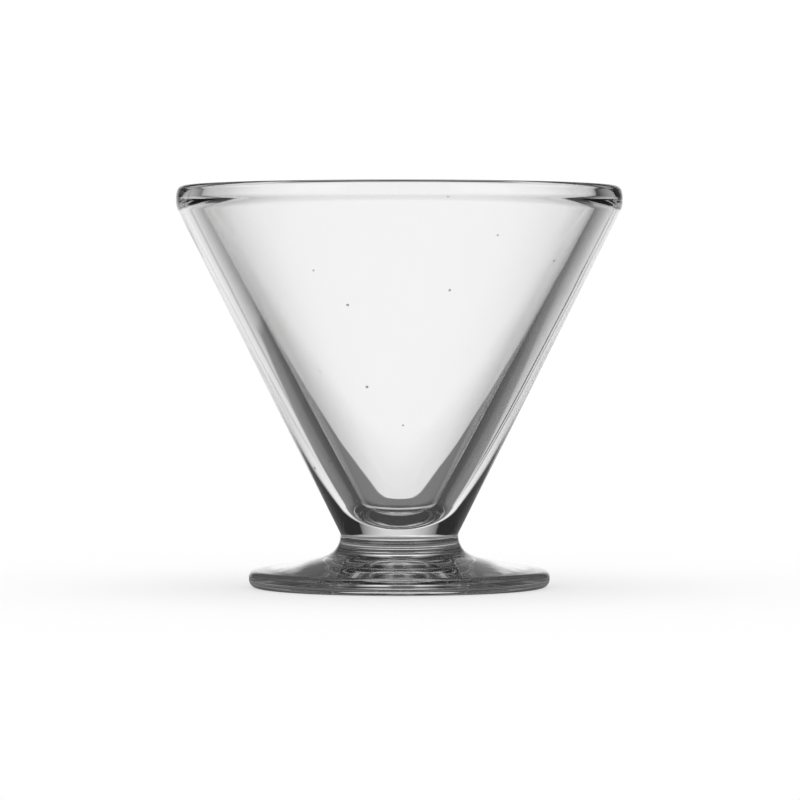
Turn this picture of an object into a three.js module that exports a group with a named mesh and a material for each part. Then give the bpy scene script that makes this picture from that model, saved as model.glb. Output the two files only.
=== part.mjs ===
// A footed dessert coupe of thick clear glass: a conical bowl, a short stem and a round foot.
// Millimetres, +Z up. The origin is on the table, under the middle of the foot.
import * as THREE from "three";

// Overall sizes
const height = 96; // from the table to the top of the rim
const rimDiameter = 106.9; // across the band below the rim, before its edges are rounded
const footDiameter = 72; // across the rounded edge of the foot

// Stem, and the flare that runs from it into the foot
const neckDiameter = 28.3;
const neckLength = 0.2; // upright glass above the flare
const flareRadius = 5.2;
const flareSplitAngle = 45; // degrees down the flare, where the stem ends and the foot begins

// Bowl, outside
const neckLand = 0.3; // upright glass between the stem and the cone
const neckRounding = 3;
const rimBandHeight = 5.1; // upright band below the rim
const rimBandLean = 0.1; // how far the band's widest line stands out from its foot
const rimBandLineDrop = 2.2; // from the top down to that widest line
const lipLean = 0.6; // how far the top draws in again
const shoulderRounding = 5;
const rimBandRounding = 5;
const lipOuterRounding = 1.5;

// Bowl, inside
const lipWidth = 4.5; // across the lip at the top, before its edges are rounded
const lipInnerRounding = 1.4;
const mouthWall = 4.8; // glass at the widest line where the hollow turns upright below the lip
const mouthDrop = 2.6; // from the top down to there
const mouthRounding = 3.8;
const hollowFloorDiameter = 13.1; // before the tip of the hollow is rounded
const bowlFloor = 3.8; // glass between the stem and the lowest point of the hollow
const hollowTipRounding = 11.2;

// Foot
const footTopSlope = 11; // degrees
const footEdgeHeight = 3.9; // where the top cone would meet the upright edge
const footEdgeTopRounding = 1.6;
const footEdgeBottomRounding = 2.1;
const restingRingWidth = 2.3; // flat ring that stands on the table
const undersideHollow = 2.4; // depth of the hollow inside the resting ring
const undersideLevel = 34; // across its level middle, before that is rounded into the slope
const undersideRounding = 90;

const segmentsRound = 72;
const arcStep = 15; // most degrees between two points of an arc
const undersideSteps = 3; // straight steps along the rounding under the foot

const radians = THREE.MathUtils.degToRad;
const neckRadius = neckDiameter / 2;
const flare = flareCircle();
const footHeight = flare.centre.y - flareRadius * Math.sin(radians(flareSplitAngle));
const stemTop = flare.centre.y + neckLength;
const stemLength = stemTop - footHeight;
const bowlHeight = height - stemTop;

// The circle of the flare. It touches the neck on one side and the foot's top cone below.
function flareCircle() {
  const slope = radians(footTopSlope);
  const r = neckRadius + flareRadius;
  const coneHeight = footEdgeHeight + (footDiameter / 2 - r) * Math.tan(slope);
  return {
    centre: new THREE.Vector2(r, coneHeight + flareRadius / Math.cos(slope)),
    coneAngle: 270 - footTopSlope,
    splitAngle: 180 + flareSplitAngle,
    neckAngle: 180,
  };
}

// A corner of an outline: its distance from the axis, its height, the radius that rounds it and,
// where arcStep would be too coarse, the steps of its arc.
const corner = (r, z, rounding = 0, steps) => ({ at: new THREE.Vector2(r, z), rounding, steps });

// Points on a circle about a centre, from one angle to another, both in degrees.
function arc(centre, radius, from, to, steps = Math.ceil(Math.abs(to - from) / arcStep)) {
  return Array.from({ length: steps + 1 }, (_, i) => {
    const angle = radians(from + ((to - from) * i) / steps);
    return new THREE.Vector2(Math.cos(angle), Math.sin(angle)).multiplyScalar(radius).add(centre);
  });
}

// The arc that rounds one corner and touches both sides. No side gives up more than its share.
function roundedCorner(before, { at, rounding, steps }, after) {
  const inward = before.at.clone().sub(at);
  const outward = after.at.clone().sub(at);
  const halfAngle = Math.acos(inward.dot(outward) / (inward.length() * outward.length())) / 2;
  const share = (side, neighbour) => side.length() * (neighbour.rounding ? 0.5 : 0.98);
  const reach = Math.min(
    rounding / Math.tan(halfAngle),
    share(inward, before),
    share(outward, after),
  );
  const radius = reach * Math.tan(halfAngle);
  const toCentre = inward.normalize().add(outward.normalize()).normalize();
  const centre = at.clone().addScaledVector(toCentre, Math.hypot(radius, reach));
  const middle = THREE.MathUtils.radToDeg(Math.atan2(-toCentre.y, -toCentre.x));
  const halfTurn = 90 - THREE.MathUtils.radToDeg(halfAngle);
  const side = Math.sign(
    (at.x - before.at.x) * (after.at.y - at.y) - (at.y - before.at.y) * (after.at.x - at.x),
  );
  return arc(centre, radius, middle - side * halfTurn, middle + side * halfTurn, steps);
}

function roundedOutline(corners) {
  return corners.flatMap((c, i) =>
    c.rounding ? roundedCorner(corners[i - 1], c, corners[i + 1]) : [c.at],
  );
}

// A solid turned about the Z axis from an outline that starts and ends on it.
function turned(name, outline, material, z) {
  const mesh = new THREE.Mesh(
    new THREE.LatheGeometry(outline, segmentsRound).rotateX(Math.PI / 2),
    material,
  );
  mesh.name = name;
  mesh.position.z = z;
  return mesh;
}

function clearGlass(color) {
  return new THREE.MeshStandardMaterial({
    color,
    roughness: 0.03,
    metalness: 0,
    transparent: true,
    opacity: 0.35,
  });
}

function footOutline() {
  const edge = footDiameter / 2;
  const ringOuter = edge - footEdgeBottomRounding;
  const ringInner = ringOuter - restingRingWidth;
  const lowerFlare = arc(flare.centre, flareRadius, flare.coneAngle, flare.splitAngle);
  const undersideAndEdge = roundedOutline([
    corner(0, undersideHollow),
    corner(undersideLevel / 2, undersideHollow, undersideRounding, undersideSteps),
    corner(ringInner, 0),
    corner(edge, 0, footEdgeBottomRounding),
    corner(edge, footEdgeHeight, footEdgeTopRounding),
    corner(lowerFlare[0].x, lowerFlare[0].y),
  ]);
  return [...undersideAndEdge, ...lowerFlare.slice(1), new THREE.Vector2(0, footHeight)];
}

function stemOutline() {
  const upperFlare = arc(flare.centre, flareRadius, flare.splitAngle, flare.neckAngle);
  const fromSeat = upperFlare.map((point) => new THREE.Vector2(point.x, point.y - footHeight));
  return [
    new THREE.Vector2(0, 0),
    ...fromSeat,
    new THREE.Vector2(neckRadius, stemLength),
    new THREE.Vector2(0, stemLength),
  ];
}

function bowlOutline() {
  const rim = rimDiameter / 2;
  const lipOuter = rim - lipLean;
  const lipInner = lipOuter - lipWidth;
  return roundedOutline([
    corner(0, 0),
    corner(neckRadius, 0),
    corner(neckRadius, neckLand, neckRounding),
    corner(rim - rimBandLean, bowlHeight - rimBandHeight, shoulderRounding),
    corner(rim, bowlHeight - rimBandLineDrop, rimBandRounding),
    corner(lipOuter, bowlHeight, lipOuterRounding),
    corner(lipInner, bowlHeight, lipInnerRounding),
    corner(rim - mouthWall, bowlHeight - mouthDrop, mouthRounding),
    corner(hollowFloorDiameter / 2, bowlFloor, hollowTipRounding),
    corner(0, bowlFloor),
  ]);
}

const coupe = new THREE.Group();
coupe.add(
  turned("foot", footOutline(), clearGlass(0xe4e8ea), 0),
  turned("stem", stemOutline(), clearGlass(0xe6e8ea), footHeight),
  turned("bowl", bowlOutline(), clearGlass(0xf2f2f3), stemTop),
);

export default coupe;
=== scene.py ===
# A footed dessert coupe of thick clear pressed glass, on a pale floor in soft studio light.
# Metres, +Z up, as the frame. Lengths in millimetres are written as a number times MM, or in mm().
import math
from functools import reduce

import bmesh
import bpy
from bpy.props import FloatProperty, FloatVectorProperty, IntProperty, PointerProperty
from bpy.types import Operator, Panel, PropertyGroup
from mathutils import Matrix, Vector


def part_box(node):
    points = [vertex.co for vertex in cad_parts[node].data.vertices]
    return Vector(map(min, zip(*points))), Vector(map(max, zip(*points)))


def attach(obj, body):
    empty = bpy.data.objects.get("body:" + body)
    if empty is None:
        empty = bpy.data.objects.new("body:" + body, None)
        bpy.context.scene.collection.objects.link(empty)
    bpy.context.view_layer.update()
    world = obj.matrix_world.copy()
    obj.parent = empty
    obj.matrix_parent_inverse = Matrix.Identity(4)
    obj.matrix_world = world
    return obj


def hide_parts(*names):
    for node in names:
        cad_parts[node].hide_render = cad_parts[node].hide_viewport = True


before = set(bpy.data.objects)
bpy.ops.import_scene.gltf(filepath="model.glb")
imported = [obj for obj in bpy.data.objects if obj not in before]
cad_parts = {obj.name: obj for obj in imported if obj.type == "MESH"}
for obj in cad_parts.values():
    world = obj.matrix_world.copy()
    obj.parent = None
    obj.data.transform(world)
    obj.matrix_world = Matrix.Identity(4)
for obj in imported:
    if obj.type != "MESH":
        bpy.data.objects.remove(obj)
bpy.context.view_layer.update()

bl_info = {
    "name": "Dessert coupe",
    "version": (1, 0, 0),
    "blender": (4, 5, 0),
    "location": "3D View > Sidebar > Coupe",
    "description": "Builds a footed dessert coupe of clear pressed glass and a small stage for it",
    "category": "Object",
}

MM = 0.001


def mm(*lengths):
    return tuple(number * MM for number in lengths)


# The frame gives the overall sizes and the two seats where bowl, stem and foot are one glass.
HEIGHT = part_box("bowl")[1].z
FOOT_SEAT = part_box("stem")[0].z
BOWL_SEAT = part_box("stem")[1].z
FOOT_DIAMETER = 2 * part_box("foot")[1].x

TOLERANCE = 0.001 * MM
SECTORS = 8  # equal parts of a full turn, of which the first is copied

# The most that a rounding takes of a side whose other end is rounded too, or is a plain corner
SHARED_SIDE = 0.5
LONE_SIDE = 0.98

FRONT = math.radians(-90)  # the turn from +X to the front, which is -Y

# Seeds in the bowl's wall, each as degrees round from the front and millimetres above the table
SEEDS = (
    (-27, 76), (-17.6, 68), (28.3, 84), (53, 78.5), (2, 40), (-14.8, 49),
    (100, 60), (160, 70), (-130, 50), (-75, 30),
)
SMALL_SEED = 0.7  # size of every other seed, as a share of the larger ones

# The skin of the glass. A pair of noise values is where a patch or scratch starts and is full.
PATCH_SIZE = 14 * MM
PATCH_NOISE = 0.35, 0.7
SCRATCH_SIZE = 0.4 * MM
SCRATCH_NOISE = 0.4, 0.65
BETWEEN_SCRATCHES = 0.3  # how scuffed the resting ring is there, as a share
RING_EDGE = mm(0.05, 0.35)  # heights above the table between which the scuffing ends

# The photograph's camera, worked out from the outline's proportions
CAMERA_DISTANCE = 1.055
CAMERA_HEIGHT = 0.0648
AIM_HEIGHT = 0.04482
AIM_RIGHT = 0.00017
PHOTO_SIDE = 800
PIXELS_PER_METRE = 4177.6
SENSOR_WIDTH = 36.0
VIEW_END = 20

# The stage
FLOOR_RADIUS = 4
FLOOR_SIDES = 96
FULL_SHADOW = 0.1  # how far the floor's shadow stays full, as a share of the floor's reach
LAMP_DIAMETER = 1.2
LAMP_HEIGHT = 1.4
GLASS_BOUNCES = 32
MIRROR_BOUNCES = 24

# Painted reflection and refraction: the world shows this studio only to light that has gone through
# the glass or was mirrored in it. It lights nothing, and the eye and plain surfaces see white.
# The studio that shows in the photograph's glass. Turns are degrees round from +Y towards +X, and
# rises are degrees above the level. A pair says where a change starts and ends, or the values at
# its start and end. Three numbers are the two ends of a band and how soft they are.

# The backdrop, seen through the glass
BACKDROP_MIDDLE = 2
BACKDROP_DARKENS = 9, 58
BACKDROP_ENDS = 62, 78
LOW_ASIDE = 29, 33
LOW_RISE = -19, -17
LOW_TONE = 0.95
UPPER_RISE = 15, 45
UPPER_SHARE = 0.55
GAP_RISE = 11, 19, 1
GAP_ENDS = 14, 17
SLANT_TURN = -10, 10
SLANT_SHARES = 1.22, 0.47
SLANT_RISE = 12, 25, 1.5

# The room, mirrored in the glass. Higher up the backdrop is narrower and leans to the right.
EVEN_TO = 9
NARROWING_RISE = -6, 2
HALF_WIDTHS = 44, 23
LEANING_RISE = -12, 18
LEANING_MIDDLES = -4.5, 2
LEANING_BACK_RISE = 20, 30
LEANING_BACK = 5
HIGHER_RISE = 8, 28
HIGHER_SHARE = 0.3
CEILING_RISE = 48, 60
DOORWAY_RISE = 14, 46, 3
DOORWAY_TURN = -8, 4.5, 2
# Two painted lamp glints, low in front, seen only mirrored in the glass; no lamp stands there.
PAINTED_GLINTS_ASIDE = 120, 150, 6
PAINTED_GLINTS_RISE = 0, 32, 4

# Thin gaps between the backdrop's panels: turn, lowest and highest rise, and how dark they are
SLITS = ((-22.5, -19, -11, 0.4), (-10.5, -11, -7, 0.3), (8.5, -9, -4, 0.6), (14, -12, -9, 1))
SLIT_HALF_WIDTH = 0.6, 2
SLIT_SOFT = 0.7

# A table that only the glass shows, with painted light and painted shadow on it; the eye sees a
# white floor there.
# The table, as places along X or Y, or distances from the object's axis
UNDER_FOOT = mm(33, 37)
PAST_FOOT = mm(60, 80)
TABLE_FRONT = mm(-20, -60)
STRIP_ASIDE = mm(50, 75)
STRIP_BEHIND = mm(50, 70)
TABLE_END = mm(300, 340)
LEFT_EDGE = mm(-129, -122)
BACK_EDGE_ASIDE = mm(25, 72)
BACK_EDGE = mm(212, 157)
MIRRORED_EDGE_ASIDE = mm(10, 45)
MIRRORED_EDGE = mm(100, 139)
BEHIND_TABLE = mm(200, 550)

# Two values, the first seen through the glass and the second mirrored in it
EDGE_SOFT = mm(8, 16)
BEHIND_TABLE_TONES = 0.84, 0.93

# How grazing the light is when the table's tone changes, from 0 straight down to 1 along it. At
# an even Blend, Layer Weight gives 1 less the cosine of the light's angle.
EVEN_BLEND = 0.5
# The table is lighter at a grazing angle: a painted sheen.
TABLE_LIGHTENS = 0.5, 0.77
# Where painted light comes in as the table is looked down on more steeply
PAINTED_LIGHT_STEEPNESS = 0.617, 0.585
STEEPEST = 0.5, 0.44

# The table's tones, through the glass: painted shadow beside the foot, painted light from above and
# painted light in front of the object
PAINTED_SHADOW_BESIDE_FOOT = 0.8
PAINTED_LIGHT_TONE = 0.97
PAINTED_FRONT_LIGHT_TONE = 0.95


def length(name, description, millimetres):
    return FloatProperty(
        name=name, description=description, default=millimetres * MM, unit="LENGTH", precision=5
    )


def share(name, description, value):
    return FloatProperty(name=name, description=description, default=value, subtype="FACTOR")


def degrees(name, description, value):
    return FloatProperty(
        name=name, description=description, default=math.radians(value), unit="ROTATION"
    )


class CoupeSizes(PropertyGroup):
    rim_diameter: length("Rim", "Across the band below the rim, before it is rounded", 106.9)
    rim_band_height: length("Rim band", "Height of the upright band below the rim", 5.1)
    rim_band_lean: length("Band lean", "How far the band's widest line stands out", 0.1)
    rim_band_line_drop: length("Band line", "From the top down to the band's widest line", 2.2)
    lip_lean: length("Lip lean", "How far the top draws in again", 0.6)
    lip_width: length("Lip", "Across the lip, before its edges are rounded", 4.5)
    lip_outer_rounding: length("Lip rounding outside", "Radius of the rim's outer edge", 1.5)
    lip_inner_rounding: length("Lip rounding inside", "Radius of the rim's inner edge", 1.4)
    shoulder_rounding: length("Shoulder", "Radius where the cone meets the rim band", 5.0)
    rim_band_rounding: length("Band rounding", "Radius of the band's widest line", 5.0)
    mouth_wall: length("Mouth wall", "Glass where the hollow turns upright below the lip", 4.8)
    mouth_drop: length("Mouth drop", "From the top down to there", 2.6)
    mouth_rounding: length("Mouth rounding", "Radius where the hollow turns upright", 3.8)
    neck_diameter: length("Neck", "Across the stem", 28.3)
    neck_land: length("Neck land", "Upright glass between the stem and the cone", 0.3)
    neck_rounding: length("Neck rounding", "Radius where the neck meets the cone", 3.0)
    hollow_floor_diameter: length("Hollow floor", "Across the hollow's flat tip", 13.1)
    hollow_tip_rounding: length("Hollow tip", "Radius round the hollow's tip", 11.2)
    bowl_floor: length("Bowl floor", "Glass between the stem and the hollow", 3.8)
    flare_radius: length("Flare", "Radius of the flare from stem to foot", 5.2)
    foot_top_slope: degrees("Foot slope", "Slope of the foot's top", 11.0)
    foot_edge_height: length("Foot edge", "Height where the top would meet the edge", 3.9)
    foot_edge_top_rounding: length("Foot edge, top", "Radius of the edge's upper side", 1.6)
    foot_edge_bottom_rounding: length("Foot edge, bottom", "Radius of its lower side", 2.1)
    resting_ring_width: length("Resting ring", "Width of the flat ring under the foot", 2.3)
    underside_hollow: length("Underside", "Depth of the hollow under the foot", 2.4)
    underside_level: length("Underside, level", "Across the hollow's level middle", 34.0)
    underside_rounding: length("Underside rounding", "Radius where the hollow levels out", 90.0)
    seed_radius: length("Seed", "Radius of the larger seeds", 0.32)
    steps_round: IntProperty(name="Steps round", description="Faces round the axis", default=256)
    arc_step: degrees("Arc step", "Most turn between two points of a rounding", 1.5)
    underside_step: degrees("Underside step", "Most turn between two points under the foot", 0.4)
    longest_step: length("Longest step", "Longest straight stretch between two rings", 2.5)


class GlassLook(PropertyGroup):
    tint: FloatVectorProperty(
        name="Tint",
        description="Colour that the glass lets through at each face",
        default=(0.997, 0.995, 0.995),
        size=3,
        subtype="COLOR",
    )
    ior: FloatProperty(name="IOR", description="Refractive index of soda-lime glass", default=1.52)
    haze: share("Haze", "Roughness of the dullest patches of the polished skin", 0.02)
    scuffed: share("Scuffed", "Roughness of the worn resting ring", 0.3)
    wave_length: length("Wave length", "Distance between the faint waves in the glass", 14.0)
    wave_height: length("Wave height", "Height of the faint waves in the glass", 0.03)


class StageLook(PropertyGroup):
    floor_colour: FloatVectorProperty(
        name="Floor", description="Colour of the floor", default=(0.8, 0.8, 0.8), size=3,
        subtype="COLOR",
    )
    floor_reach: length("Floor reach", "How far from the object the floor shows its shadow", 420.0)
    # Glow: white emission mixed into the floor for the eye alone, not light from below; it lightens
    # the real shadow.
    glow: share("Glow", "How much of the floor is lit from below, which softens the shadow", 0.55)
    # The table tones below show only in the glass. The grazing tone is a painted sheen and the
    # front tone is painted light. Under the foot there is painted shadow when mirrored, and painted
    # light through the glass.
    table_grazing: share("Table, grazing", "How light the table is, seen at a low angle", 0.23)
    table_steep: share("Table, steep", "How light the table is, seen more steeply", 0.08)
    painted_shadow_under_foot: share("Table, under", "How light the table is, mirrored under the foot", 0.06)
    painted_light_through_foot: share(
        "Table, through", "How light it is, seen from above or through the foot", 0.55
    )
    table_front: share("Table, front", "How light the table is in front of the object", 0.3)
    gap: share("Gap", "How light the gap over the backdrop's middle is, through glass", 0.04)
    seen: FloatProperty(
        name="Backdrop", description="How light its middle is, through glass", default=1.05
    )
    seen_aside: share("Backdrop aside", "How light the backdrop is aside, through glass", 0.25)
    mirrored_aside: share("Mirrored aside", "How light it is aside, mirrored in the glass", 0.08)
    doorway: share("Doorway", "How light the doorway behind the backdrop is, mirrored", 0.3)
    # Painted lamp glints, seen only mirrored in the glass; they light nothing.
    painted_lamp_glint_tone: share("Front lights", "How light the two low lamps in front are", 0.75)
    dark: share("Dark", "How light the dark parts of the room are, mirrored in the glass", 0.02)
    lamp_power: FloatProperty(
        name="Lamp", description="Power of the soft lamp overhead", default=6.0, unit="POWER"
    )


def flare_circle(sizes):
    """Centre of the flare's circle, which touches the neck and the foot's top cone."""
    r = sizes.neck_diameter / 2 + sizes.flare_radius
    slope = sizes.foot_top_slope
    cone_height = sizes.foot_edge_height + (FOOT_DIAMETER / 2 - r) * math.tan(slope)
    return Vector((r, 0, cone_height + sizes.flare_radius / math.cos(slope)))


def flare_split(sizes):
    """Angle down the flare, in radians, where the stem ends and the foot begins."""
    return math.asin((flare_circle(sizes).z - FOOT_SEAT) / sizes.flare_radius)


class Outline:
    """Half of a section in the XZ plane, drawn with wire edges from the axis back to it."""

    def __init__(self, sizes):
        self.mesh = bmesh.new()
        self.arc_step = sizes.arc_step
        self.longest_step = sizes.longest_step
        self.last = None

    def point(self, r, z):
        """The next vertex, or the last one if the outline already ends there."""
        if self.last and (self.last.co - Vector((r, 0, z))).length < TOLERANCE:
            return self.last
        vertex = self.mesh.verts.new((r, 0, z))
        if self.last:
            self.mesh.edges.new((self.last, vertex))
        self.last = vertex
        return vertex

    def halve_long_steps(self):
        while long := [e for e in self.mesh.edges if e.calc_length() > self.longest_step]:
            bmesh.ops.subdivide_edges(self.mesh, edges=long, cuts=1)

    def arc(self, centre, radius, start, turn):
        """A vertex swept about a centre. Angles run from the radial direction up towards +Z."""
        first = self.point(centre.x + radius * math.cos(start), centre.z + radius * math.sin(start))
        swept = bmesh.ops.spin(
            self.mesh,
            geom=[first],
            cent=centre,
            axis=(0, -1, 0),
            angle=turn,
            steps=max(1, math.ceil(abs(turn) / self.arc_step)),
            use_merge=False,
        )
        self.last = next(g for g in swept["geom_last"] if isinstance(g, bmesh.types.BMVert))

    def corners(self, places):
        """A run of corners, each (r, z, rounding). No side gives an arc more than its share."""
        for before, (r, z, rounding), after in zip([None, *places], places, [*places[1:], None]):
            if not rounding:
                self.point(r, z)
                continue
            at = Vector((r, 0, z))
            inward = Vector((before[0], 0, before[1])) - at
            outward = Vector((after[0], 0, after[1])) - at
            half = inward.angle(outward) / 2
            reach = min(
                rounding / math.tan(half),
                inward.length * (SHARED_SIDE if before[2] else LONE_SIDE),
                outward.length * (SHARED_SIDE if after[2] else LONE_SIDE),
            )
            radius = reach * math.tan(half)
            to_centre = (inward.normalized() + outward.normalized()).normalized()
            centre = at + to_centre * math.hypot(radius, reach)
            start = at + inward.normalized() * reach - centre
            side = math.copysign(1, inward.z * outward.x - inward.x * outward.z)
            self.arc(centre, radius, math.atan2(start.z, start.x), side * (math.pi - 2 * half))

    def turned(self, steps_round):
        """The closed body that the outline sweeps about the Z axis: one sector, then its copies."""
        self.halve_long_steps()
        sector = 2 * math.pi / SECTORS
        about_z = {"cent": (0, 0, 0), "axis": (0, 0, 1)}
        bmesh.ops.spin(
            self.mesh,
            geom=[*self.mesh.verts, *self.mesh.edges],
            angle=sector,
            steps=steps_round // SECTORS,
            **about_z,
        )
        bmesh.ops.spin(
            self.mesh,
            geom=[*self.mesh.verts, *self.mesh.edges, *self.mesh.faces],
            angle=2 * math.pi - sector,
            steps=SECTORS - 1,
            use_duplicate=True,
            **about_z,
        )
        bmesh.ops.remove_doubles(self.mesh, verts=self.mesh.verts, dist=TOLERANCE)
        bmesh.ops.recalc_face_normals(self.mesh, faces=self.mesh.faces)
        return self.mesh


def bowl_outline(sizes):
    rim = sizes.rim_diameter / 2
    neck = sizes.neck_diameter / 2
    lip_outer = rim - sizes.lip_lean
    lip_inner = lip_outer - sizes.lip_width
    band_foot = rim - sizes.rim_band_lean
    hollow_floor = BOWL_SEAT + sizes.bowl_floor
    outline = Outline(sizes)
    outline.corners(
        [
            (0, BOWL_SEAT, 0),
            (neck, BOWL_SEAT, 0),
            (neck, BOWL_SEAT + sizes.neck_land, sizes.neck_rounding),
            (band_foot, HEIGHT - sizes.rim_band_height, sizes.shoulder_rounding),
            (rim, HEIGHT - sizes.rim_band_line_drop, sizes.rim_band_rounding),
            (lip_outer, HEIGHT, sizes.lip_outer_rounding),
            (lip_inner, HEIGHT, sizes.lip_inner_rounding),
            (rim - sizes.mouth_wall, HEIGHT - sizes.mouth_drop, sizes.mouth_rounding),
            (sizes.hollow_floor_diameter / 2, hollow_floor, sizes.hollow_tip_rounding),
            (0, hollow_floor, 0),
        ]
    )
    return outline


def stem_outline(sizes):
    split = flare_split(sizes)
    outline = Outline(sizes)
    outline.point(0, FOOT_SEAT)
    outline.arc(flare_circle(sizes), sizes.flare_radius, math.pi + split, -split)
    outline.point(sizes.neck_diameter / 2, BOWL_SEAT)
    outline.point(0, BOWL_SEAT)
    return outline


def foot_outline(sizes):
    edge = FOOT_DIAMETER / 2
    ring_outer = edge - sizes.foot_edge_bottom_rounding
    ring_inner = ring_outer - sizes.resting_ring_width
    flare = flare_circle(sizes)
    cone_end = flare - sizes.flare_radius * Vector(
        (math.sin(sizes.foot_top_slope), 0, math.cos(sizes.foot_top_slope))
    )
    outline = Outline(sizes)
    outline.arc_step = sizes.underside_step
    outline.corners(
        [
            (0, sizes.underside_hollow, 0),
            (sizes.underside_level / 2, sizes.underside_hollow, sizes.underside_rounding),
            (ring_inner, 0, 0),
        ]
    )
    outline.arc_step = sizes.arc_step
    outline.corners(
        [
            (ring_inner, 0, 0),
            (edge, 0, sizes.foot_edge_bottom_rounding),
            (edge, sizes.foot_edge_height, sizes.foot_edge_top_rounding),
            (cone_end.x, cone_end.z, 0),
        ]
    )
    straight_down = 1.5 * math.pi
    start = straight_down - sizes.foot_top_slope
    outline.arc(flare, sizes.flare_radius, start, math.pi + flare_split(sizes) - start)
    outline.point(0, FOOT_SEAT)
    return outline


def lies_on_seat(face):
    """True for a face of a seat, where one piece of the glass goes on into the next."""
    return any(
        all(abs(v.co.z - seat) < TOLERANCE for v in face.verts)
        for seat in (FOOT_SEAT, BOWL_SEAT)
    )


def make_glass_piece(name, outline, node_name):
    """Turns an outline, gives its seats the see-through joint material and hands the piece over."""
    body = outline.turned(bpy.context.scene.coupe_sizes.steps_round)
    for face in body.faces:
        face.smooth = True
        face.material_index = 1 if lies_on_seat(face) else 0
    for edge in body.edges:
        edge.smooth = len({face.material_index for face in edge.link_faces}) == 1
    mesh = bpy.data.meshes.new(name)
    body.to_mesh(mesh)
    body.free()
    mesh.materials.append(clear_glass_material())
    mesh.materials.append(joint_material())
    piece = bpy.data.objects.new(name, mesh)
    hand_over(piece)
    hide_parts(node_name)


def link_or_set(tree, value, socket):
    """Plugs a socket's value into an input, or writes a plain number there."""
    if isinstance(value, bpy.types.NodeSocket):
        tree.links.new(value, socket)
    else:
        socket.default_value = value


def math_node(tree, operation, *values):
    node = tree.nodes.new("ShaderNodeMath")
    node.operation = operation
    for value, socket in zip(values, node.inputs):
        link_or_set(tree, value, socket)
    return node.outputs["Value"]


def fade(tree, value, start, end, low=0.0, high=1.0, kind="SMOOTHSTEP"):
    """A step from low to high as value goes from start to end, soft or with LINEAR a slope."""
    node = tree.nodes.new("ShaderNodeMapRange")
    node.interpolation_type = kind
    inputs = {"Value": value, "From Min": start, "From Max": end, "To Min": low, "To Max": high}
    for name, given in inputs.items():
        link_or_set(tree, given, node.inputs[name])
    return node.outputs["Result"]


def mix_values(tree, share_of_second, first, second):
    node = tree.nodes.new("ShaderNodeMix")
    node.data_type = "FLOAT"
    for name, given in (("Factor", share_of_second), ("A", first), ("B", second)):
        link_or_set(tree, given, node.inputs[name])
    return node.outputs["Result"]


def place(tree, kind):
    """X, Y and Z of a texture coordinate."""
    coordinates = tree.nodes.new("ShaderNodeTexCoord")
    split = tree.nodes.new("ShaderNodeSeparateXYZ")
    tree.links.new(coordinates.outputs[kind], split.inputs[0])
    return split.outputs["X"], split.outputs["Y"], split.outputs["Z"]


def product(tree, *values):
    return reduce(lambda a, b: math_node(tree, "MULTIPLY", a, b), values)


def maximum(tree, *values):
    return reduce(lambda a, b: math_node(tree, "MAXIMUM", a, b), values)


def distance(tree, value, middle=0.0):
    """How far a value is from a middle, on either side."""
    return math_node(tree, "ABSOLUTE", math_node(tree, "SUBTRACT", value, middle))


def band(tree, value, start, end, soft):
    """One between start and end, with soft sides, and zero outside."""
    rising = fade(tree, value, start - soft, start + soft)
    falling = fade(tree, value, end - soft, end + soft, 1, 0)
    return product(tree, rising, falling)


def mix_shaders(tree, share_of_second, first, second):
    node = tree.nodes.new("ShaderNodeMixShader")
    link_or_set(tree, share_of_second, node.inputs["Fac"])
    tree.links.new(first.outputs[0], node.inputs[1])
    tree.links.new(second.outputs[0], node.inputs[2])
    return node


def light_path(tree):
    """What the Light Path node tells, then whether the light goes straight to the eye or to a
    plain surface, and whether the glass has mirrored it."""
    path = tree.nodes.new("ShaderNodeLightPath").outputs
    plain = maximum(tree, path["Is Camera Ray"], path["Is Diffuse Ray"])
    was_mirrored = math_node(tree, "GREATER_THAN", path["Glossy Depth"], 0)
    return path, plain, was_mirrored


def new_material(name):
    """A material and its lone Principled shader, or the one made before and no shader."""
    material = bpy.data.materials.get(name)
    if material:
        return material, None
    material = bpy.data.materials.new(name)
    material.use_nodes = True
    return material, material.node_tree.nodes["Principled BSDF"]


def noise(tree, coordinates, wavelength, detail):
    node = tree.nodes.new("ShaderNodeTexNoise")
    node.inputs["Scale"].default_value = 1 / wavelength
    node.inputs["Detail"].default_value = detail
    tree.links.new(coordinates, node.inputs["Vector"])
    return node.outputs["Fac"]


def pressed_skin(tree, look):
    """Roughness and height of the fire-polished skin: dull patches, a scuffed resting ring and
    the faint long waves that the mould leaves."""
    coordinates = tree.nodes.new("ShaderNodeTexCoord").outputs["Object"]
    split = tree.nodes.new("ShaderNodeSeparateXYZ")
    tree.links.new(coordinates, split.inputs[0])
    patches = noise(tree, coordinates, PATCH_SIZE, detail=2)
    dull = fade(tree, patches, *PATCH_NOISE, 0, look.haze)
    scratches = noise(tree, coordinates, SCRATCH_SIZE, detail=3)
    scratches = fade(tree, scratches, *SCRATCH_NOISE, BETWEEN_SCRATCHES, 1)
    on_ring = fade(tree, split.outputs["Z"], *RING_EDGE, look.scuffed, 0)
    roughness = math_node(tree, "ADD", dull, product(tree, scratches, on_ring))
    return roughness, noise(tree, coordinates, look.wave_length, detail=1)


def clear_glass_material():
    look = bpy.context.scene.coupe_glass
    material, shader = new_material("pressed_glass")
    if shader:
        tree = material.node_tree
        shader.inputs["Base Color"].default_value = (*look.tint, 1)
        shader.inputs["IOR"].default_value = look.ior
        shader.inputs["Transmission Weight"].default_value = 1
        roughness, height = pressed_skin(tree, look)
        waves = tree.nodes.new("ShaderNodeBump")
        waves.inputs["Distance"].default_value = look.wave_height
        tree.links.new(height, waves.inputs["Height"])
        tree.links.new(waves.outputs["Normal"], shader.inputs["Normal"])
        tree.links.new(roughness, shader.inputs["Roughness"])
    return material


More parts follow.
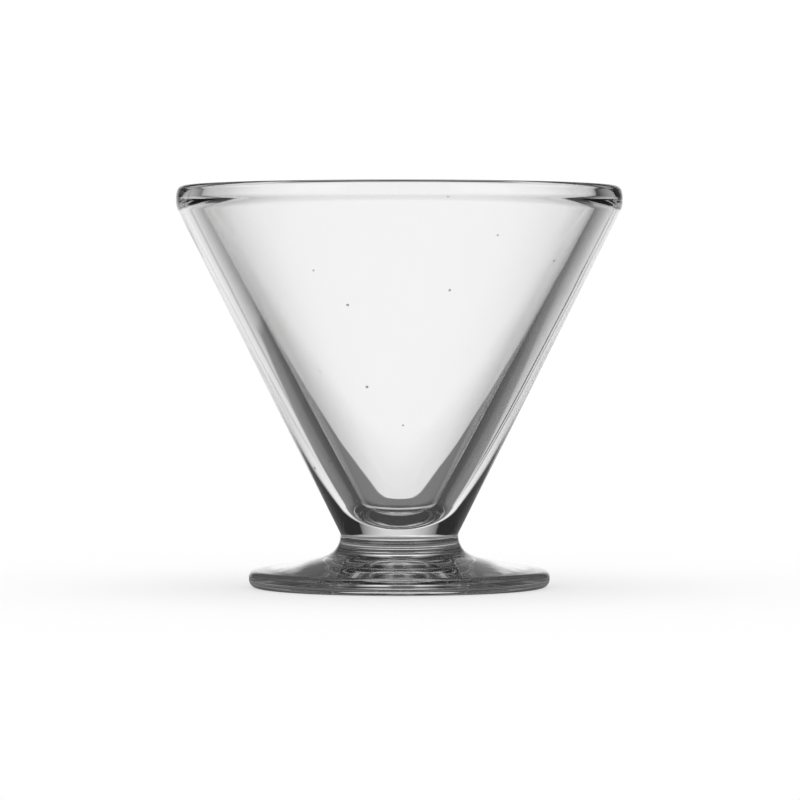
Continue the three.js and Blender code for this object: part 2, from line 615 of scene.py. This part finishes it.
def joint_material():
    """Where two pieces are one glass, light goes straight on."""
    material, shader = new_material("glass_joint")
    if shader:
        shader.inputs["Alpha"].default_value = 0
    return material


def seed_places(sizes):
    """Where tiny bubbles lie, half-way through the bowl's wall."""
    cone_foot = sizes.neck_diameter / 2, BOWL_SEAT + sizes.neck_land
    hollow_foot = sizes.hollow_floor_diameter / 2, BOWL_SEAT + sizes.bowl_floor
    rim = sizes.rim_diameter / 2
    band_foot = rim - sizes.rim_band_lean, HEIGHT - sizes.rim_band_height
    mouth = rim - sizes.mouth_wall, HEIGHT - sizes.mouth_drop
    for azimuth, z in SEEDS:
        outer, inner = (
            low[0] + (high[0] - low[0]) * (z * MM - low[1]) / (high[1] - low[1])
            for low, high in ((cone_foot, band_foot), (hollow_foot, mouth))
        )
        angle = math.radians(azimuth) + FRONT
        middle = (outer + inner) / 2
        yield Vector((middle * math.cos(angle), middle * math.sin(angle), z * MM))


def hand_over(piece):
    """Links a glass piece into the scene, where it moves with the coupe's one body."""
    bpy.context.scene.collection.objects.link(piece)
    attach(piece, "root")


class COUPE_OT_bowl(Operator):
    """Build the conical bowl with its rounded rim"""

    bl_idname = "coupe.bowl"
    bl_label = "Bowl"

    def execute(self, context):
        make_glass_piece("bowl_glass", bowl_outline(context.scene.coupe_sizes), "bowl")
        return {"FINISHED"}


class COUPE_OT_stem(Operator):
    """Build the short solid stem"""

    bl_idname = "coupe.stem"
    bl_label = "Stem"

    def execute(self, context):
        make_glass_piece("stem_glass", stem_outline(context.scene.coupe_sizes), "stem")
        return {"FINISHED"}


class COUPE_OT_foot(Operator):
    """Build the round foot with the hollow under it"""

    bl_idname = "coupe.foot"
    bl_label = "Foot"

    def execute(self, context):
        make_glass_piece("foot_glass", foot_outline(context.scene.coupe_sizes), "foot")
        return {"FINISHED"}


class COUPE_OT_seeds(Operator):
    """Scatter a few seeds, the tiny bubbles that pressed glass has, in the bowl's wall"""

    bl_idname = "coupe.seeds"
    bl_label = "Seeds"

    def execute(self, context):
        sizes = context.scene.coupe_sizes
        seeds = bmesh.new()
        for number, middle in enumerate(seed_places(sizes)):
            radius = sizes.seed_radius * (1 if number % 2 else SMALL_SEED)
            bmesh.ops.create_icosphere(
                seeds, subdivisions=3, radius=radius, matrix=Matrix.Translation(middle)
            )
        for face in seeds.faces:
            face.smooth = True
        mesh = bpy.data.meshes.new("seeds_glass")
        seeds.to_mesh(mesh)
        seeds.free()
        mesh.materials.append(clear_glass_material())
        hand_over(bpy.data.objects.new("seeds_glass", mesh))
        return {"FINISHED"}


def backdrop_seen(tree, look, turn, rise):
    """A painted backdrop, seen only through the glass, that lights nothing. It darkens to its sides
    and upwards, with a gap above its middle. At the gap's height and a little above, it also
    darkens from left to right. It is light past its ends, and low down at its sides."""
    aside = distance(tree, turn)
    from_middle = distance(tree, turn, BACKDROP_MIDDLE)
    tone = fade(tree, from_middle, *BACKDROP_DARKENS, look.seen, look.seen_aside, "LINEAR")
    low_aside = product(tree, fade(tree, aside, *LOW_ASIDE), fade(tree, rise, *LOW_RISE, 1, 0))
    tone = mix_values(tree, low_aside, tone, LOW_TONE)
    tone = mix_values(tree, fade(tree, aside, *BACKDROP_ENDS), tone, 1)
    tone = product(tree, tone, fade(tree, rise, *UPPER_RISE, 1, UPPER_SHARE))
    gap = product(tree, band(tree, rise, *GAP_RISE), fade(tree, aside, *GAP_ENDS, 1, 0))
    tone = mix_values(tree, gap, tone, look.gap)
    slant = fade(tree, turn, *SLANT_TURN, *SLANT_SHARES, "LINEAR")
    return product(tree, tone, mix_values(tree, band(tree, rise, *SLANT_RISE), 1, slant))


def beside_slit(tree, turn, rise, at, lowest, highest, darkness):
    """One at the sides of a thin gap between two panels, and less in it."""
    darkened = product(tree, band(tree, rise, lowest, highest, SLIT_SOFT), darkness)
    in_slit = math_node(tree, "SUBTRACT", 1, darkened)
    return fade(tree, distance(tree, turn, at), *SLIT_HALF_WIDTH, in_slit, 1)


def room_mirrored(tree, look, turn, rise):
    """Painted reflections, seen only mirrored in the glass: the backdrop with its slits and a
    doorway behind it, and two painted lamp glints low in front, which light nothing. The rest of
    the room and the ceiling are dark."""
    leaning = fade(tree, rise, *LEANING_RISE, *LEANING_MIDDLES, "LINEAR")
    leaning_back = fade(tree, rise, *LEANING_BACK_RISE, 0, LEANING_BACK)
    from_middle = distance(tree, turn, math_node(tree, "SUBTRACT", leaning, leaning_back))
    half_width = fade(tree, rise, *NARROWING_RISE, *HALF_WIDTHS)
    doorway = product(tree, band(tree, rise, *DOORWAY_RISE), band(tree, turn, *DOORWAY_TURN))
    backdrop = product(
        tree,
        fade(tree, from_middle, EVEN_TO, half_width, 1, look.mirrored_aside, "LINEAR"),
        fade(tree, rise, *HIGHER_RISE, 1, HIGHER_SHARE),
        fade(tree, rise, *CEILING_RISE, 1, 0),
        mix_values(tree, doorway, 1, look.doorway),
        *(beside_slit(tree, turn, rise, *slit) for slit in SLITS),
    )
    painted_lamp_glints = product(
        tree,
        band(tree, distance(tree, turn), *PAINTED_GLINTS_ASIDE),
        band(tree, rise, *PAINTED_GLINTS_RISE),
        look.painted_lamp_glint_tone,
    )
    return maximum(tree, backdrop, painted_lamp_glints, look.dark)


def make_studio_world(look):
    """A white room for the eye and the floor, and the photograph's studio for the glass."""
    world = bpy.data.worlds.new("studio")
    world.use_nodes = True
    tree = world.node_tree
    x, y, z = place(tree, "Generated")
    turn = math_node(tree, "DEGREES", math_node(tree, "ARCTAN2", x, y))
    rise = math_node(tree, "DEGREES", math_node(tree, "ARCSINE", z))
    _, plain, was_mirrored = light_path(tree)
    seen = backdrop_seen(tree, look, turn, rise)
    mirrored = room_mirrored(tree, look, turn, rise)
    # The eye and plain surfaces see white; only light through or mirrored in the glass sees the
    # painted studio.
    tone = maximum(tree, plain, mix_values(tree, was_mirrored, seen, mirrored))
    tree.links.new(tone, tree.nodes["Background"].inputs["Color"])
    world.cycles.sampling_method = "NONE"
    bpy.context.scene.world = world


def table_top(tree, look, x, y, from_middle, was_mirrored):
    """A grey table top that only the glass shows, with a painted sheen that makes it lighter at a
    grazing angle and painted light in front of the object. Through the glass it also has painted
    light when looked down on, but for a dark strip behind the object, painted shadow beside the
    foot and painted light under it; mirrored, it has painted shadow under the foot."""
    facing = tree.nodes.new("ShaderNodeLayerWeight")
    facing.inputs["Blend"].default_value = EVEN_BLEND
    grazing = facing.outputs["Facing"]
    tone = fade(tree, grazing, *TABLE_LIGHTENS, look.table_steep, look.table_grazing, "LINEAR")
    in_front = fade(tree, y, *TABLE_FRONT)
    under_foot = fade(tree, from_middle, *UNDER_FOOT, 1, 0)

    beside_strip = maximum(
        tree, fade(tree, distance(tree, x), *STRIP_ASIDE), fade(tree, y, *STRIP_BEHIND, 1, 0)
    )
    steepest = fade(tree, grazing, *STEEPEST, 0, look.painted_light_through_foot)
    lit = product(
        tree,
        beside_strip,
        fade(tree, grazing, *PAINTED_LIGHT_STEEPNESS),
        fade(tree, from_middle, *PAST_FOOT),
    )
    # Painted shadow beside the foot, then painted light when looked down on, from above, in front
    # and under the foot
    seen = product(tree, tone, fade(tree, from_middle, *PAST_FOOT, PAINTED_SHADOW_BESIDE_FOOT, 1))
    seen = maximum(tree, seen, product(tree, beside_strip, steepest))
    seen = mix_values(tree, lit, seen, PAINTED_LIGHT_TONE)
    seen = mix_values(tree, in_front, seen, PAINTED_FRONT_LIGHT_TONE)
    seen = mix_values(tree, under_foot, seen, look.painted_light_through_foot)

    # Mirrored: painted light in front of the object and painted shadow under the foot
    mirrored = mix_values(tree, in_front, tone, look.table_front)
    mirrored = mix_values(tree, under_foot, mirrored, look.painted_shadow_under_foot)

    table = tree.nodes.new("ShaderNodeEmission")
    tree.links.new(mix_values(tree, was_mirrored, seen, mirrored), table.inputs["Strength"])
    return table


def off_table(tree, x, y, from_middle, was_mirrored):
    """One past the edges of the table, and zero on it. The back edge isn't straight."""
    aside = distance(tree, x)
    back_edge = mix_values(
        tree,
        was_mirrored,
        fade(tree, aside, *BACK_EDGE_ASIDE, *BACK_EDGE, "LINEAR"),
        fade(tree, aside, *MIRRORED_EDGE_ASIDE, *MIRRORED_EDGE, "LINEAR"),
    )
    soft = mix_values(tree, was_mirrored, *EDGE_SOFT)
    past_back_edge = math_node(tree, "SUBTRACT", y, back_edge)
    behind = fade(tree, past_back_edge, product(tree, soft, -1), soft)
    left = product(tree, fade(tree, x, *LEFT_EDGE, 1, 0), was_mirrored)
    return maximum(tree, behind, fade(tree, from_middle, *TABLE_END), left)


def room_behind_table(tree, y, was_mirrored):
    """A see-through shader that shows the world, a little darker just behind the table."""
    away = tree.nodes.new("ShaderNodeBsdfTransparent")
    nearest = mix_values(tree, was_mirrored, *BEHIND_TABLE_TONES)
    tree.links.new(fade(tree, y, *BEHIND_TABLE, nearest, 1), away.inputs["Color"])
    return away


def white_floor(tree, look, from_middle, path):
    """A plain floor that shows the shadow near the object, lightened by a share of white emission
    that glows for the eye alone, and is white emission further out.
    """
    plain = tree.nodes.new("ShaderNodeBsdfDiffuse")
    plain.inputs["Color"].default_value = (*look.floor_colour, 1)
    white = tree.nodes.new("ShaderNodeEmission")
    shadow_end = look.floor_reach
    far = fade(tree, from_middle, FULL_SHADOW * shadow_end, shadow_end, look.glow, 1)
    return mix_shaders(tree, product(tree, far, path["Is Camera Ray"]), plain, white)


def floor_material(look):
    """A white floor for the eye, with the object's shadow, and a grey table top with painted light
    and shade that only the glass shows.
    """
    material = bpy.data.materials.new("pale_floor")
    material.use_nodes = True
    tree = material.node_tree
    tree.nodes.clear()
    x, y, _ = place(tree, "Object")
    squares = math_node(tree, "ADD", product(tree, x, x), product(tree, y, y))
    from_middle = math_node(tree, "SQRT", squares)
    path, plain, was_mirrored = light_path(tree)
    to_the_glass = mix_shaders(
        tree,
        off_table(tree, x, y, from_middle, was_mirrored),
        table_top(tree, look, x, y, from_middle, was_mirrored),
        room_behind_table(tree, y, was_mirrored),
    )
    to_the_eye = white_floor(tree, look, from_middle, path)
    seen_plainly = maximum(tree, plain, path["Is Shadow Ray"])
    both = mix_shaders(tree, seen_plainly, to_the_glass, to_the_eye)
    output = tree.nodes.new("ShaderNodeOutputMaterial")
    tree.links.new(both.outputs[0], output.inputs["Surface"])
    return material


def make_floor(look):
    shape = bmesh.new()
    bmesh.ops.create_circle(shape, cap_ends=True, segments=FLOOR_SIDES, radius=FLOOR_RADIUS)
    mesh = bpy.data.meshes.new("floor")
    shape.to_mesh(mesh)
    shape.free()
    mesh.materials.append(floor_material(look))
    floor = bpy.data.objects.new("floor", mesh)
    bpy.context.scene.collection.objects.link(floor)


def make_lamp(look):
    """A wide soft lamp overhead, which lights the floor and isn't mirrored in the glass."""
    data = bpy.data.lights.new("soft_lamp", "AREA")
    data.shape = "DISK"
    data.size = LAMP_DIAMETER
    data.energy = look.lamp_power
    lamp = bpy.data.objects.new("soft_lamp", data)
    lamp.location = (0, 0, LAMP_HEIGHT)
    lamp.visible_glossy = False
    lamp.visible_transmission = False
    bpy.context.scene.collection.objects.link(lamp)


def make_camera():
    data = bpy.data.cameras.new("camera")
    data.sensor_width = SENSOR_WIDTH
    data.lens = PIXELS_PER_METRE * CAMERA_DISTANCE / PHOTO_SIDE * SENSOR_WIDTH
    data.clip_end = VIEW_END
    camera = bpy.data.objects.new("camera", data)
    camera.location = (AIM_RIGHT, -CAMERA_DISTANCE, CAMERA_HEIGHT)
    aim = Vector((AIM_RIGHT, 0, AIM_HEIGHT)) - camera.location
    camera.rotation_mode = "QUATERNION"
    camera.rotation_quaternion = aim.to_track_quat("-Z", "Y")
    bpy.context.scene.collection.objects.link(camera)
    bpy.context.scene.camera = camera


class COUPE_OT_stage(Operator):
    """Set up the floor, the soft studio light and the camera"""

    bl_idname = "coupe.stage"
    bl_label = "Stage"

    def execute(self, context):
        look = context.scene.coupe_stage
        make_studio_world(look)
        make_floor(look)
        make_lamp(look)
        make_camera()
        scene = context.scene
        scene.view_settings.view_transform = "Standard"
        scene.cycles.max_bounces = GLASS_BOUNCES
        scene.cycles.glossy_bounces = MIRROR_BOUNCES
        scene.cycles.transmission_bounces = GLASS_BOUNCES
        scene.cycles.transparent_max_bounces = GLASS_BOUNCES
        return {"FINISHED"}


class COUPE_PT_panel(Panel):
    bl_idname = "COUPE_PT_panel"
    bl_label = "Dessert coupe"
    bl_space_type = "VIEW_3D"
    bl_region_type = "UI"
    bl_category = "Coupe"

    def draw(self, context):
        for operator in OPERATORS:
            self.layout.operator(operator.bl_idname)
        scene = context.scene
        for group in (scene.coupe_sizes, scene.coupe_glass, scene.coupe_stage):
            for name in group.__annotations__:
                self.layout.prop(group, name)


OPERATORS = (COUPE_OT_bowl, COUPE_OT_stem, COUPE_OT_foot, COUPE_OT_seeds, COUPE_OT_stage)
CLASSES = (CoupeSizes, GlassLook, StageLook, *OPERATORS, COUPE_PT_panel)


def register():
    for cls in CLASSES:
        bpy.utils.register_class(cls)
    bpy.types.Scene.coupe_sizes = PointerProperty(type=CoupeSizes)
    bpy.types.Scene.coupe_glass = PointerProperty(type=GlassLook)
    bpy.types.Scene.coupe_stage = PointerProperty(type=StageLook)


def unregister():
    del bpy.types.Scene.coupe_stage
    del bpy.types.Scene.coupe_glass
    del bpy.types.Scene.coupe_sizes
    for cls in reversed(CLASSES):
        bpy.utils.unregister_class(cls)


def main():
    register()
    bpy.ops.coupe.bowl()
    bpy.ops.coupe.stem()
    bpy.ops.coupe.foot()
    bpy.ops.coupe.seeds()
    bpy.ops.coupe.stage()


if __name__ == "__main__":
    main()
